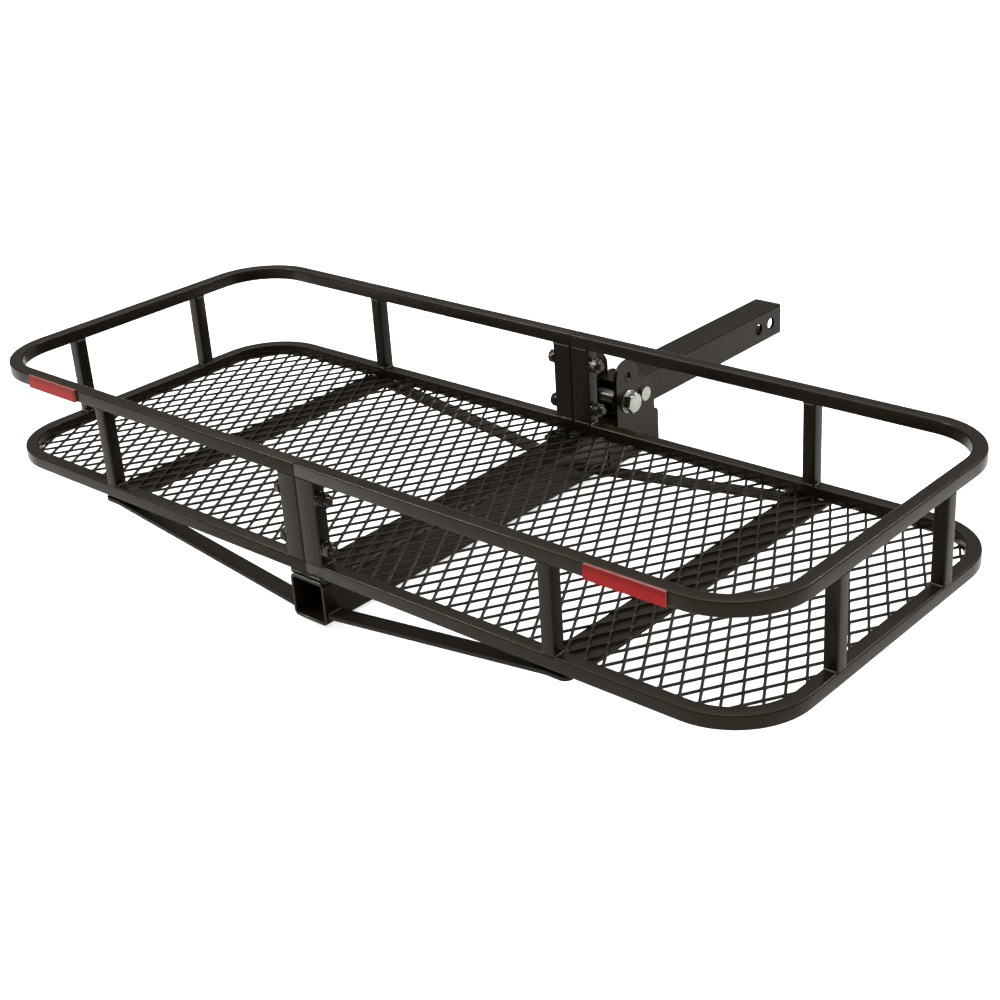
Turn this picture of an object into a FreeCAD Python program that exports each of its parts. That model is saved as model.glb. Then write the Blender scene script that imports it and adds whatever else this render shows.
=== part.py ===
import FreeCAD, Part
import math
import os
import Sketcher
from FreeCAD import Rotation, Vector

# Hitch cargo carrier: a folding two-half steel basket on a receiver shank.
# Frame: origin at the centre of the hitch pin hole, +Y along the shank
# toward the vehicle, +X to the right when looking along +Y, +Z up.
# In part names left is -X, right is +X, front is -Y and back is +Y.
# The basket has its own origin: seam, centre line, bottom of the lower rail.

# Driving dimensions, mm; each becomes a spreadsheet alias
dim = {
    # overall basket
    "half_length": 673.0,         # seam to outer face of the end rail
    "half_width": 275.0,          # centre line to outer face of front/back rail
    "basket_height": 152.4,       # bottom of lower rail to top of upper rail
    "tube_size": 19.05,           # rail and post tube, square
    "tube_wall": 1.6,
    "corner_radius": 100.0,       # outside radius of the rail bends in plan
    "seam_gap": 0.2,              # half of the gap between the two basket halves
    "seam_post_width": 32.0,
    "post_offset": 396.0,         # front and back posts from the seam
    "end_post_offset": 116.0,     # end posts from the centre line
    # basket origin in the main frame
    "basket_shift": -700.0,
    "rail_bottom": -25.4,
    # floor
    "mesh_thickness": 3.0,
    "strap_width": 55.0,
    "strap_thickness": 4.0,
    "strap_offset": 400.0,
    "strap_length": 530.0,
    "saddle_length": 60.0,
    "saddle_width": 50.0,
    "saddle_thickness": 6.0,
    "saddle_offset": 249.0,       # centre line to middle of the saddle plate
    # main tube
    "main_size": 60.0,
    "main_wall": 4.0,
    "main_front": 276.5,          # centre line to the -Y end
    "main_rear": 418.0,           # centre line to the +Y end
    # braces
    "brace_width": 25.0,
    "brace_thickness": 5.0,
    "brace_inset": 1.0,           # outer face of the rail to edge of the brace
    # hinge
    "pivot_offset": 346.0,        # basket centre line to pivot
    "ear_thickness": 6.0,
    "ear_inner": 25.5,            # middle to inner face of an ear
    "lock_radius": 37.5,          # pivot to lock pin hole and to stow hole
    "pivot_bolt_radius": 9.0,
    "bush_outer_radius": 12.5,
    "running_clearance": 0.05,
    "lock_pin_radius": 8.0,
    "lock_pin_reach": 46.0,       # middle to the -X end of the lock pin
    # shank
    "shank_size": 50.8,
    "shank_wall": 5.0,
    "shank_end": 63.0,            # pin hole to open end of the shank
    "second_hole": 35.0,          # pin hole to second cross hole
    "hitch_hole_radius": 9.5,
    # fasteners
    "seam_bolt_radius": 6.0,
    "seam_bolt_low": 41.5,        # heights above the rail bottom
    "seam_bolt_high": 109.0,
    "floor_bolt_radius": 4.0,
    "floor_bolt_x": 13.0,
    "floor_bolt_y": 243.0,
    # reflectors
    "reflector_length": 108.0,
    "reflector_offset": 503.0,
    "reflector_shift": 5.0,       # both reflectors sit this far toward +X
    "reflector_thickness": 4.0,
}

doc = FreeCAD.newDocument("hitch_cargo_carrier")
sheet = doc.addObject("Spreadsheet::Sheet", "Sheet")
for line, (alias, value) in enumerate(dim.items(), 1):
    sheet.set("A%d" % line, alias)
    sheet.set("B%d" % line, repr(value))
    sheet.setAlias("B%d" % line, alias)
doc.recompute()

# Expressions for the basket origin, the pivot and the underside of the top rail
BASKET_Y = "Sheet.basket_shift"
BASKET_Z = "Sheet.rail_bottom"
PIVOT_Y = "Sheet.basket_shift + Sheet.pivot_offset"
TOP_RAIL_Z = BASKET_Z + " + Sheet.basket_height - Sheet.tube_size"

SIDES = ((-1, "left"), (1, "right"))      # along X
ENDS = ((-1, "front"), (1, "back"))       # along Y

pieces = {}


# ---------------------------------------------------------------- helpers
def signed(sign, expression):
    return "%d*(%s)" % (sign, expression)


def finish(name, obj, x="0", y=BASKET_Y, z=BASKET_Z):
    """Label a finished piece, bind its position and list it for export."""
    obj.Label = name
    for axis, expression in (("x", x), ("y", y), ("z", z)):
        obj.setExpression("Placement.Base." + axis, expression)
    pieces[name] = obj


def new_body(name):
    return doc.addObject("PartDesign::Body", "body_" + name)


def new_sketch(body, name, role="XY_Plane", offset=None):
    """Sketch on an origin plane; offset is an expression along its normal."""
    plane = next(item for item in body.Origin.OriginFeatures if item.Role == role)
    sketch = body.newObject("Sketcher::SketchObject", name)
    sketch.AttachmentSupport = [(plane, "")]
    sketch.MapMode = "FlatFace"
    if offset:
        sketch.setExpression("AttachmentOffset.Base.z", offset)
    return sketch


def lines(sketch, points):
    """Chain of straight lines through (x, y) points."""
    return [sketch.addGeometry(Part.LineSegment(Vector(*start, 0), Vector(*end, 0)), False)
            for start, end in zip(points, points[1:])]


def polygon(sketch, points):
    edges = lines(sketch, points + points[:1])
    for edge, following in zip(edges, edges[1:] + edges[:1]):
        sketch.addConstraint(Sketcher.Constraint("Coincident", edge, 2, following, 1))
    return edges


def arc(sketch, centre, radius, start, end):
    """Counter-clockwise arc between two angles in degrees."""
    whole = Part.Circle(Vector(*centre, 0), Vector(0, 0, 1), radius)
    sketch.addGeometry(
        Part.ArcOfCircle(whole, math.radians(start), math.radians(end)), False)


def dimension(sketch, tag, expression, *definition):
    """Named sketch dimension driven by an expression."""
    index = sketch.addConstraint(Sketcher.Constraint(*definition))
    sketch.renameConstraint(index, tag)
    sketch.setExpression("Constraints." + tag, expression)


def rectangle(sketch, wide, high, wall=None):
    """Centred rectangle from aliases; with a wall, the bore of that tube."""
    tag = "inner" if wall else "outer"
    less = " - 2*Sheet." + wall if wall else ""
    wide_value, high_value = (dim[alias] - 2 * dim.get(wall, 0.0) for alias in (wide, high))
    right, top = wide_value / 2, high_value / 2
    edges = polygon(sketch, [(-right, -top), (right, -top), (right, top), (-right, top)])
    for edge, direction in zip(edges, ("Horizontal", "Vertical") * 2):
        sketch.addConstraint(Sketcher.Constraint(direction, edge))
    sketch.addConstraint(Sketcher.Constraint("Symmetric", edges[0], 1, edges[1], 2, -1, 1))
    dimension(sketch, tag + "_wide", "Sheet." + wide + less,
              "DistanceX", edges[0], 1, edges[0], 2, wide_value)
    dimension(sketch, tag + "_high", "Sheet." + high + less,
              "DistanceY", edges[1], 1, edges[1], 2, high_value)


def circle(sketch, x, y, radius):
    """Circle whose radius is an alias."""
    edge = sketch.addGeometry(
        Part.Circle(Vector(x, y, 0), Vector(0, 0, 1), dim[radius]), False)
    dimension(sketch, "radius_%d" % edge, "Sheet." + radius, "Radius", edge, dim[radius])
    return edge


def extrude(body, kind, sketch, length, symmetric=False, reverse=False):
    """Pad along the sketch normal or Pocket against it; reverse swaps that."""
    feature = body.newObject("PartDesign::" + kind, sketch.Name + "_" + kind.lower())
    feature.Profile = sketch
    if symmetric:
        # the property's name depends on the FreeCAD release
        if hasattr(feature, "SideType"):
            feature.SideType = "Symmetric"
        else:
            feature.Midplane = True
    feature.Reversed = reverse
    feature.setExpression("Length", length)
    body.Tip = feature
    doc.recompute()


def along(solid, axis, start, end, centre):
    """Lay a cylinder or prism along X at (y, z), or along Z at (x, y)."""
    solid.Height = end - start
    if axis == "x":
        solid.Placement = FreeCAD.Placement(Vector(start, *centre),
                                            Rotation(Vector(0, 1, 0), 90))
    else:
        solid.Placement = FreeCAD.Placement(Vector(*centre, start), Rotation())
    return solid


def cylinder(name, radius, start, end, centre=(0, 0), axis="x"):
    """The radius is a number or an expression."""
    solid = doc.addObject("Part::Cylinder", name)
    if isinstance(radius, str):
        solid.setExpression("Radius", radius)
    else:
        solid.Radius = radius
    return along(solid, axis, start, end, centre)


def hexagon(name, flats, start, end, centre=(0, 0), axis="x"):
    solid = doc.addObject("Part::Prism", name)
    solid.Polygon = 6
    solid.Circumradius = flats / math.sqrt(3.0)
    return along(solid, axis, start, end, centre)


def cut(name, base, tool):
    result = doc.addObject("Part::Cut", name)
    result.Base = base
    result.Tool = tool
    return result


def bored(make, name, size, hole, start, end, centre=(0, 0), axis="x"):
    """Ring or nut: a cylinder or hexagon with a through hole."""
    return cut(name + "_bored",
               make(name + "_solid", size, start, end, centre, axis),
               cylinder(name + "_hole", hole, start - 1, end + 1, centre, axis))


def fuse(name, parts):
    result = doc.addObject("Part::MultiFuse", name)
    result.Shapes = parts
    return result


def group(name, parts):
    """Several loose solids as one piece in the basket frame."""
    compound = doc.addObject("Part::Compound", name + "_set")
    compound.Links = parts
    finish(name, compound)


# ---------------------------------------------------------------- rails
BORE_OVERRUN = 1.0      # the rail bore runs this far out of the open ends


def u_region(sketch, side, outer, inner, reach):
    """Plan of a U rail between two offsets in from its outside face;
    reach is the distance of the open ends from the seam."""
    bend_x = side * (dim["half_length"] - dim["corner_radius"])
    bend_y = dim["half_width"] - dim["corner_radius"]
    open_x = side * reach
    for offset in (outer, inner):
        radius = dim["corner_radius"] - offset
        end_x = side * (dim["half_length"] - offset)
        long_y = dim["half_width"] - offset
        lines(sketch, [(end_x, bend_y), (end_x, -bend_y)])
        for sign in (1, -1):
            lines(sketch, [(open_x, sign * long_y), (bend_x, sign * long_y)])
            middle = math.degrees(math.atan2(sign, side))
            arc(sketch, (bend_x, sign * bend_y), radius, middle - 45, middle + 45)
    for sign in (1, -1):
        lines(sketch, [(open_x, sign * (dim["half_width"] - outer)),
                       (open_x, sign * (dim["half_width"] - inner))])


def rail(name, side, z):
    body = new_body(name)
    size, wall, gap = dim["tube_size"], dim["tube_wall"], dim["seam_gap"]
    plan = new_sketch(body, name + "_plan")
    u_region(plan, side, 0.0, size, gap)
    extrude(body, "Pad", plan, "Sheet.tube_size")
    bore = new_sketch(body, name + "_bore", offset="Sheet.tube_wall")
    u_region(bore, side, wall, size - wall, gap - BORE_OVERRUN)
    # reversed, so that it runs upward inside the tube
    extrude(body, "Pocket", bore, "Sheet.tube_size - 2*Sheet.tube_wall", reverse=True)
    finish(name, body, z=z)


for side, side_name in SIDES:
    rail(side_name + "_bottom_rail", side, BASKET_Z)
    rail(side_name + "_top_rail", side, TOP_RAIL_Z)


# ---------------------------------------------------------------- posts
def drill_seam_hole(body, height):
    """Hole along X through a seam post, at the height alias."""
    sketch = new_sketch(body, body.Name + "_" + height, "YZ_Plane")
    local_z = dim[height] - dim["tube_size"]
    edge = circle(sketch, 0.0, local_z, "seam_bolt_radius")
    dimension(sketch, "height", "Sheet.%s - Sheet.tube_size" % height,
              "DistanceY", -1, 1, edge, 3, local_z)
    sketch.addConstraint(Sketcher.Constraint("PointOnObject", edge, 3, -2))
    extrude(body, "Pocket", sketch, "Sheet.seam_post_width*2", symmetric=True)


def post(name, wide, x, y, hole_heights=()):
    """Upright tube between the lower and the upper rail."""
    body = new_body(name)
    section = new_sketch(body, name + "_section")
    rectangle(section, wide, "tube_size")
    rectangle(section, wide, "tube_size", "tube_wall")
    extrude(body, "Pad", section, "Sheet.basket_height - 2*Sheet.tube_size")
    for height in hole_heights:
        drill_seam_hole(body, height)
    finish(name, body, x, BASKET_Y + " + " + y, BASKET_Z + " + Sheet.tube_size")


SEAM_BOLT_HEIGHTS = ("seam_bolt_low", "seam_bolt_high")
for side, side_name in SIDES:
    for end, end_name in ENDS:
        rail_y = signed(end, "Sheet.half_width - Sheet.tube_size/2")
        post("%s_%s_post" % (end_name, side_name), "tube_size",
             signed(side, "Sheet.post_offset"), rail_y)
        post("%s_%s_seam_post" % (end_name, side_name), "seam_post_width",
             signed(side, "Sheet.seam_gap + Sheet.seam_post_width/2"), rail_y,
             SEAM_BOLT_HEIGHTS)
        post("%s_end_%s_post" % (side_name, end_name), "tube_size",
             signed(side, "Sheet.half_length - Sheet.tube_size/2"),
             signed(end, "Sheet.end_post_offset"))

# ---------------------------------------------------------------- floor mesh
MESH_RAIL_GAP = 0.05            # mesh edge to inner face of the rail
MESH_SEAM_GAP = 0.3             # mesh edge to the end of its basket half
MESH_PITCH_X = 26.0
MESH_PITCH_Y = 42.9
OPENING_HALF_X = 10.7           # half diagonals of a diamond opening
OPENING_HALF_Y = 17.7
MESH_MARGIN = 2.0               # least solid border around the openings
BOLT_LAND_RADIUS = 26.0         # no opening is centred this close to a floor bolt


def opening_centres(seam_x, end_x, edge_y, radius):
    """Centres of the staggered diamonds that fit inside the outline."""
    corner_x, corner_y = end_x - radius, edge_y - radius
    limit = radius - MESH_MARGIN
    for column in range(1, 53):
        for row in range(-14, 15):
            if (column + row) % 2 == 0:
                continue
            x = column * MESH_PITCH_X / 2
            y = row * MESH_PITCH_Y / 2
            if (x - OPENING_HALF_X < seam_x + MESH_MARGIN
                    or x + OPENING_HALF_X > end_x - MESH_MARGIN
                    or abs(y) + OPENING_HALF_Y > edge_y - MESH_MARGIN):
                continue
            past_x, past_y = x - corner_x, abs(y) - corner_y
            if past_x > 0 and past_y > 0 and max(
                    math.hypot(past_x + OPENING_HALF_X, past_y),
                    math.hypot(past_x, past_y + OPENING_HALF_Y)) > limit:
                continue
            if math.hypot(x - dim["floor_bolt_x"],
                          abs(y) - dim["floor_bolt_y"]) < BOLT_LAND_RADIUS:
                continue
            yield x, y


def mesh_floor(name, side):
    """Expanded-metal sheet: one face with diamond openings, extruded."""
    inset = dim["tube_size"] + MESH_RAIL_GAP
    seam_x = dim["seam_gap"] + MESH_SEAM_GAP
    end_x = dim["half_length"] - inset
    edge_y = dim["half_width"] - inset
    radius = dim["corner_radius"] - inset
    corner_x, corner_y = end_x - radius, edge_y - radius
    diagonal = radius * math.sqrt(0.5)

    def point(x, y):
        return Vector(side * x, y, 0)

    def bend(*points):
        return Part.Arc(*[point(x, y) for x, y in points]).toShape()

    outline = Part.Wire([
        Part.makeLine(point(seam_x, -edge_y), point(corner_x, -edge_y)),
        bend((corner_x, -edge_y), (corner_x + diagonal, -corner_y - diagonal),
             (end_x, -corner_y)),
        Part.makeLine(point(end_x, -corner_y), point(end_x, corner_y)),
        bend((end_x, corner_y), (corner_x + diagonal, corner_y + diagonal),
             (corner_x, edge_y)),
        Part.makeLine(point(corner_x, edge_y), point(seam_x, edge_y)),
        Part.makeLine(point(seam_x, edge_y), point(seam_x, -edge_y)),
    ])
    holes = []
    for x, y in opening_centres(seam_x, end_x, edge_y, radius):
        diamond = [point(x - OPENING_HALF_X, y), point(x, y - OPENING_HALF_Y),
                   point(x + OPENING_HALF_X, y), point(x, y + OPENING_HALF_Y)]
        holes.append(Part.makePolygon(diamond + diamond[:1]))
    for end in (-1, 1):
        centre = point(dim["floor_bolt_x"], end * dim["floor_bolt_y"])
        holes.append(Part.Wire(Part.makeCircle(dim["floor_bolt_radius"], centre)))
    face = Part.Face([outline] + holes)
    # guards against hole wires that run the wrong way round
    if not face.isValid():
        face.validate()
    mesh = doc.addObject("Part::Feature", "sheet_" + name)
    mesh.Shape = face.extrude(Vector(0, 0, dim["mesh_thickness"]))
    finish(name, mesh)


for side, side_name in SIDES:
    mesh_floor(side_name + "_floor_mesh", side)


# ---------------------------------------------------------------- flat plates
def plate(name, size, x="0", y=BASKET_Y, z=BASKET_Z, holes=()):
    """Flat plate centred in plan, base at z; size holds the x, y, z aliases,
    holes the centres of floor bolt holes."""
    body = new_body(name)
    plan = new_sketch(body, name + "_plan")
    rectangle(plan, size[0], size[1])
    for hole_x, hole_y in holes:
        circle(plan, hole_x, hole_y, "floor_bolt_radius")
    extrude(body, "Pad", plan, "Sheet." + size[2])
    finish(name, body, x, y, z)


for side, side_name in SIDES:
    plate(side_name + "_floor_strap", ("strap_width", "strap_length", "strap_thickness"),
          x=signed(side, "Sheet.strap_offset"), z=BASKET_Z + " - Sheet.strap_thickness")
    # reflectors on the -Y face of the top rail
    plate(side_name + "_reflector",
          ("reflector_length", "reflector_thickness", "tube_size"),
          x=signed(side, "Sheet.reflector_offset") + " + Sheet.reflector_shift",
          y=BASKET_Y + " - Sheet.half_width - Sheet.reflector_thickness/2",
          z=TOP_RAIL_Z)

for end, end_name in ENDS:
    bolt_y = end * (dim["floor_bolt_y"] - dim["saddle_offset"])
    plate(end_name + "_saddle_plate", ("saddle_length", "saddle_width", "saddle_thickness"),
          y=BASKET_Y + " + " + signed(end, "Sheet.saddle_offset"),
          z=BASKET_Z + " - Sheet.saddle_thickness",
          holes=[(side * dim["floor_bolt_x"], bolt_y) for side in (-1, 1)])

# ---------------------------------------------------------------- main tube
EAR_FOOT_REACH = 46.0           # pivot to the -Y end of the ear foot
RECESS_OVERRUN_X = 3.0          # the ear recesses run out past the tube
RECESS_OVERRUN_Y = 5.0


def main_tube():
    """Square tube along Y under the floor; local y = 0 is its -Y end."""
    body = new_body("main_tube")
    section = new_sketch(body, "main_section", "XZ_Plane")
    rectangle(section, "main_size", "main_size")
    rectangle(section, "main_size", "main_size", "main_wall")
    # the XZ plane faces -Y, so the pad is reversed
    extrude(body, "Pad", section, "Sheet.main_front + Sheet.main_rear", reverse=True)

    # reversed, so that only the upper wall is drilled
    bolt_holes = new_sketch(body, "main_bolt_holes")
    for side in (-1, 1):
        for end in (-1, 1):
            circle(bolt_holes, side * dim["floor_bolt_x"],
                   dim["main_front"] + end * dim["floor_bolt_y"], "floor_bolt_radius")
    extrude(body, "Pocket", bolt_holes, "40", reverse=True)

    # the side walls are cut away at the +Y end, where the ear plates take their place
    recesses = new_sketch(body, "ear_recesses")
    start_y = dim["main_front"] + dim["pivot_offset"] - EAR_FOOT_REACH
    end_y = dim["main_front"] + dim["main_rear"] + RECESS_OVERRUN_Y
    for side in (-1, 1):
        inner_x = side * dim["ear_inner"]
        outer_x = side * (dim["main_size"] / 2 + RECESS_OVERRUN_X)
        polygon(recesses, [(inner_x, start_y), (outer_x, start_y),
                           (outer_x, end_y), (inner_x, end_y)])
    extrude(body, "Pocket", recesses, "Sheet.main_size*2", symmetric=True)
    finish("main_tube", body, y=BASKET_Y + " - Sheet.main_front",
           z=BASKET_Z + " - Sheet.saddle_thickness - Sheet.main_size/2")


main_tube()

# ---------------------------------------------------------------- braces
BRACE_FOOT_Z = -55.8            # underside where it meets the main tube
BRACE_BEND_X = 390.0
BRACE_TIP_X = 421.0
BRACE_TIP_RADIUS = 11.0


def brace(name, side, end):
    """Bent flat bar from the side of the main tube up to the floor strap."""
    body = new_body(name)
    profile = new_sketch(body, name + "_side", "XZ_Plane")
    thick = dim["brace_thickness"]
    flat_z = -dim["strap_thickness"] - thick
    under = [(side * dim["main_size"] / 2, BRACE_FOOT_Z),
             (side * BRACE_BEND_X, flat_z), (side * BRACE_TIP_X, flat_z)]
    polygon(profile, under + [(x, z + thick) for x, z in reversed(under)])
    extrude(body, "Pad", profile, "Sheet.brace_width", symmetric=True)

    # round the two upright edges at the outer tip
    tip_edges = []
    for index, edge in enumerate(body.Shape.Edges, 1):
        box = edge.BoundBox
        if (box.XLength < 0.01 and box.YLength < 0.01
                and abs(abs(box.XMin) - BRACE_TIP_X) < 0.01):
            tip_edges.append("Edge%d" % index)
    bar = body.Tip
    fillet = body.newObject("PartDesign::Fillet", name + "_tip")
    fillet.Base = (bar, tip_edges)
    fillet.Radius = BRACE_TIP_RADIUS
    body.Tip = fillet
    doc.recompute()
    finish(name, body, y=BASKET_Y + " + " + signed(
        end, "Sheet.half_width - Sheet.brace_width/2 - Sheet.brace_inset"))


for side, side_name in SIDES:
    for end, end_name in ENDS:
        brace("%s_%s_brace" % (end_name, side_name), side, end)

# ---------------------------------------------------------------- hinge ears
EAR_HALF_WIDTH = 26.0           # upright, and radius of its round top
PIN_LOBE_RADIUS = 25.5
NECK_BOTTOM = -10.0             # heights from the rail bottom
FOOT_TOP = -16.0
SHOULDER_RADIUS = 8.0
FOOT_DROP = 1.0                 # ear below the underside of the main tube


def ear(name, x):
    """Upright plate with pivot, lock and stow holes, in the basket frame."""
    pivot_y = dim["pivot_offset"]
    pivot_z = dim["shank_size"] / 2
    lock_y = pivot_y + dim["lock_radius"]
    stow_z = pivot_z + dim["lock_radius"]
    foot_z = -dim["saddle_thickness"] - dim["main_size"] - FOOT_DROP
    shoulder_y = dim["main_rear"] - SHOULDER_RADIUS

    def disc(tag, y, z, radius):
        solid = cylinder(name + "_" + tag, radius, 0, dim["ear_thickness"], (y, z))
        solid.setExpression("Height", "Sheet.ear_thickness")
        return solid

    def block(tag, y0, y1, z0, z1):
        solid = doc.addObject("Part::Box", name + "_" + tag)
        solid.setExpression("Length", "Sheet.ear_thickness")
        solid.Width = y1 - y0
        solid.Height = z1 - z0
        solid.Placement = FreeCAD.Placement(Vector(0, y0, z0), Rotation())
        return solid

    blank = fuse(name + "_blank", [
        disc("stow_lobe", pivot_y, stow_z, EAR_HALF_WIDTH),
        block("upright", pivot_y - EAR_HALF_WIDTH, pivot_y + EAR_HALF_WIDTH, foot_z, stow_z),
        disc("pin_lobe", lock_y, pivot_z, PIN_LOBE_RADIUS),
        block("neck", pivot_y, lock_y + PIN_LOBE_RADIUS, NECK_BOTTOM, pivot_z),
        block("foot", pivot_y - EAR_FOOT_REACH, dim["main_rear"], foot_z, FOOT_TOP),
        disc("shoulder", shoulder_y, FOOT_TOP, SHOULDER_RADIUS),
        block("shoulder_fill", pivot_y, shoulder_y, FOOT_TOP, FOOT_TOP + SHOULDER_RADIUS)])
    blank.Refine = True
    pin_bore = "Sheet.lock_pin_radius + Sheet.running_clearance"
    bores = fuse(name + "_bores", [
        disc("pivot_bore", pivot_y, pivot_z, "Sheet.pivot_bolt_radius"),
        disc("lock_bore", lock_y, pivot_z, pin_bore),
        disc("stow_bore", pivot_y, stow_z, pin_bore)])
    finish(name, cut(name + "_cut", blank, bores), x)


ear("left_ear_plate", "-Sheet.ear_inner - Sheet.ear_thickness")
ear("right_ear_plate", "Sheet.ear_inner")

# ---------------------------------------------------------------- shank
SHANK_CORNER_RADIUS = 4.0
NOSE_CUT_MARGIN = 6.0           # the nose cutter reaches this far past the tube
TRACK_END_ANGLE = -75.0         # degrees about the pivot, from +Y toward +Z


def rounded_square(sketch, size, radius):
    half = size / 2
    flat = half - radius
    for x, y, start in ((flat, flat, 0), (-flat, flat, 90),
                        (-flat, -flat, 180), (flat, -flat, 270)):
        arc(sketch, (x, y), radius, start, start + 90)
    for sign in (1, -1):
        lines(sketch, [(-flat, sign * half), (flat, sign * half)])
        lines(sketch, [(sign * half, -flat), (sign * half, flat)])


def shank_tube():
    """Receiver tube along Y with a half-round nose; local origin at the pivot."""
    size = dim["shank_size"]
    half = size / 2
    through = "Sheet.shank_size*2"
    body = new_body("shank_tube")
    # the XZ plane faces -Y: the offset starts the tube at the nose tip,
    # and the reversed pad runs from there toward +Y
    section = new_sketch(body, "shank_section", "XZ_Plane", offset="Sheet.shank_size/2")
    rounded_square(section, size, SHANK_CORNER_RADIUS)
    rectangle(section, "shank_size", "shank_size", "shank_wall")
    extrude(body, "Pad", section,
            "Sheet.shank_end - Sheet.basket_shift - Sheet.pivot_offset + Sheet.shank_size/2",
            reverse=True)

    # all on the -Y side of a half circle about the pivot goes
    nose = new_sketch(body, "nose_cut", "YZ_Plane")
    far = half + NOSE_CUT_MARGIN
    arc(nose, (0, 0), half, 90, 270)
    lines(nose, [(0, -half), (0, -far), (-far, -far), (-far, far), (0, far), (0, half)])
    extrude(body, "Pocket", nose, through, symmetric=True)

    # the top wall stops over the pivot; only the side cheeks and the lower wall go on
    top_end = new_sketch(body, "top_wall_end", "YZ_Plane")
    polygon(top_end, [(-size, 0), (0, 0), (0, size), (-size, size)])
    extrude(body, "Pocket", top_end, "Sheet.shank_size - 2*Sheet.shank_wall", symmetric=True)

    holes = new_sketch(body, "shank_holes", "YZ_Plane")
    hitch_y = -dim["basket_shift"] - dim["pivot_offset"]
    circle(holes, 0.0, 0.0, "bush_outer_radius")
    circle(holes, hitch_y, 0.0, "hitch_hole_radius")
    circle(holes, hitch_y + dim["second_hole"], 0.0, "hitch_hole_radius")
    extrude(body, "Pocket", holes, through, symmetric=True)

    # track for the lock pin: from the level position down and out of the lower wall
    track = new_sketch(body, "lock_track", "YZ_Plane")
    middle = dim["lock_radius"]
    clear = dim["lock_pin_radius"] + dim["running_clearance"]
    end = math.radians(TRACK_END_ANGLE)
    arc(track, (0, 0), middle + clear, TRACK_END_ANGLE, 0)
    arc(track, (0, 0), middle - clear, TRACK_END_ANGLE, 0)
    arc(track, (middle, 0), clear, 0, 180)
    lines(track, [(radius * math.cos(end), radius * math.sin(end))
                  for radius in (middle + clear, middle - clear)])
    extrude(body, "Pocket", track, through, symmetric=True)
    finish("shank_tube", body, y=PIVOT_Y, z="0")


shank_tube()

# ---------------------------------------------------------------- pivot and lock pin
EAR_OUTER = dim["ear_inner"] + dim["ear_thickness"]
PIVOT_FLATS = 28.0
PIVOT_HEAD = 11.5               # heights along the bolt
PIVOT_NUT = 15.0
PIVOT_WASHER = 3.0
PIVOT_TAIL = 3.0                # bolt past the nut
PIVOT_WASHER_RADIUS = 17.4
PIN_HEAD_RADIUS = 10.6
PIN_HEAD = 5.0
PIN_HEAD_GAP = 0.1              # ear to the underside of the pin head
CLIP_HOLE_RADIUS = 2.2
CLIP_HOLE_INSET = 6.0           # from the -X end of the pin


def pivot_set():
    """Bush, bolt, washers and nut; the bolt head is at +X."""
    bolt_radius = "Sheet.pivot_bolt_radius"
    bearing = EAR_OUTER + PIVOT_WASHER       # washer faces under head and nut
    nut_end = bearing + PIVOT_NUT
    half = dim["shank_size"] / 2
    bush = bored(cylinder, "bush", "Sheet.bush_outer_radius",
                 bolt_radius + " + Sheet.running_clearance", -half, half)
    finish("pivot_bush", bush, y=PIVOT_Y, z="0")
    bolt = fuse("pivot_bolt_fused", [
        cylinder("pivot_bolt_shaft", bolt_radius, -nut_end - PIVOT_TAIL, bearing),
        hexagon("pivot_bolt_head", PIVOT_FLATS, bearing, bearing + PIVOT_HEAD)])
    finish("pivot_bolt", bolt, y=PIVOT_Y, z="0")
    for name, start in (("pivot_head_washer", EAR_OUTER), ("pivot_nut_washer", -bearing)):
        washer = bored(cylinder, name, PIVOT_WASHER_RADIUS, bolt_radius,
                       start, start + PIVOT_WASHER)
        finish(name, washer, y=PIVOT_Y, z="0")
    nut = bored(hexagon, "pivot_nut", PIVOT_FLATS, bolt_radius, -nut_end, -bearing)
    finish("pivot_nut", nut, y=PIVOT_Y, z="0")


def lock_pin():
    """Pin with a flat round head and a cross hole for a retaining clip."""
    tip = -dim["lock_pin_reach"]
    head_start = EAR_OUTER + PIN_HEAD_GAP
    pin = fuse("lock_pin_fused", [
        cylinder("lock_pin_shaft", "Sheet.lock_pin_radius", tip, head_start),
        cylinder("lock_pin_head", PIN_HEAD_RADIUS, head_start, head_start + PIN_HEAD)])
    clip_hole = cylinder("lock_pin_clip_hole", CLIP_HOLE_RADIUS, -20, 20,
                         (tip + CLIP_HOLE_INSET, 0), "z")
    finish("lock_pin", cut("lock_pin_cut", pin, clip_hole),
           y=PIVOT_Y + " + Sheet.lock_radius", z="0")


pivot_set()
lock_pin()

# ---------------------------------------------------------------- seam bolts
SEAM_FLATS = 18.0
SEAM_HEAD = 8.0
SEAM_NUT = 10.0
SEAM_WASHER = 2.4
SEAM_WASHER_RADIUS = 10.4
SEAM_SHAFT_IN_HEAD = 2.0
SEAM_SHAFT_END = 19.0           # past the +X face of the seam posts


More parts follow.
